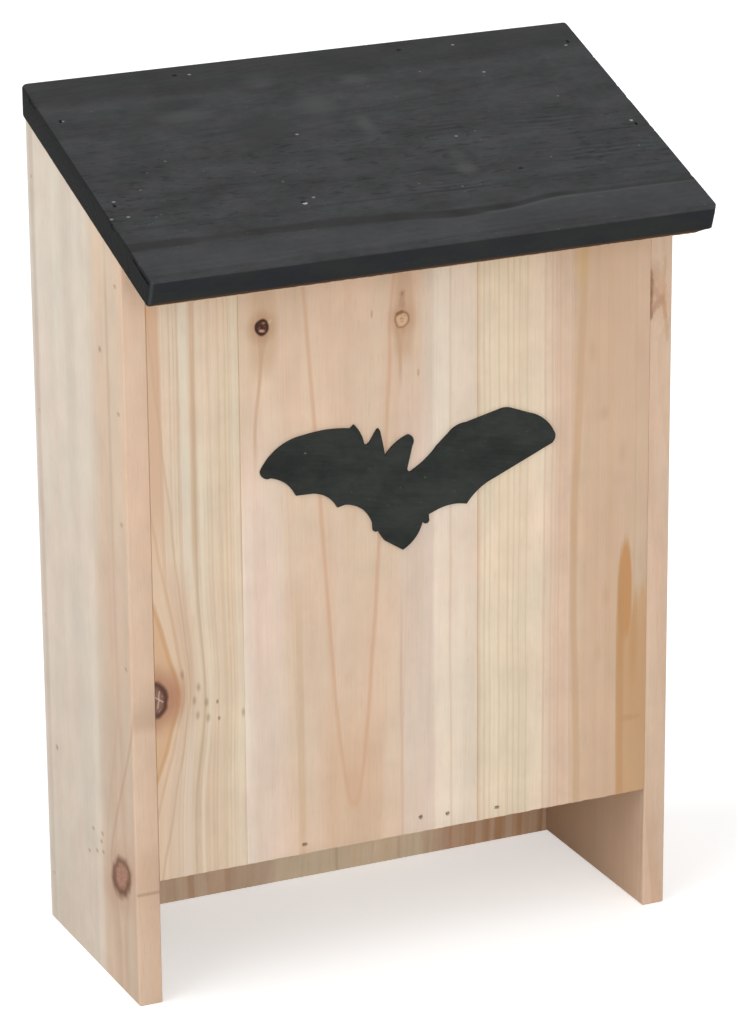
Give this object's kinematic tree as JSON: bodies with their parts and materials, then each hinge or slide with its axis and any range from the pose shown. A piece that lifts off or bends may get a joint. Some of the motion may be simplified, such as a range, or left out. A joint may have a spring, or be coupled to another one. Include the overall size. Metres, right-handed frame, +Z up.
{
  "type": "bat box",
  "caption": "Nailed wooden bat box: sloping black roof, front panel with a black bat figure, open foot with an entry slit behind the panel, keyhole plate on the back.",
  "frame": {"origin": "on the ground under the middle of the whole box, roof included", "axes": "+X to the right seen from the front, +Y from the front to the wall behind, +Z up"},
  "size_m": [0.2434, 0.1348, 0.3617],
  "materials": {
    "planed_fir": "planed, untreated, satin",
    "black_stained_fir": "black stain, matt, grain shows",
    "black_stained_ply": "black stain, matt",
    "bright_wire": "bright drawn wire, dulled",
    "zinc_plated_steel": "zinc plated"
  },
  "bodies": {
    "root": {"left_side_board": "planed_fir", "right_side_board": "planed_fir", "front_stave_left": "planed_fir", "front_stave_middle": "planed_fir", "front_stave_right": "planed_fir", "back_panel": "planed_fir", "floor_board": "planed_fir", "roof_board": "black_stained_fir", "bat_figure": "black_stained_ply", "hanger_plate": "zinc_plated_steel", "hanger_screw_left": "zinc_plated_steel", "hanger_screw_right": "zinc_plated_steel", "front_panel_brads_left": "bright_wire", "front_panel_brads_right": "bright_wire", "back_panel_brads_left": "bright_wire", "back_panel_brads_right": "bright_wire", "floor_brads": "bright_wire", "roof_brads_left": "bright_wire", "roof_brads_right": "bright_wire", "roof_brads_front": "bright_wire", "roof_brads_rear": "bright_wire"}
  },
  "joints": []
}
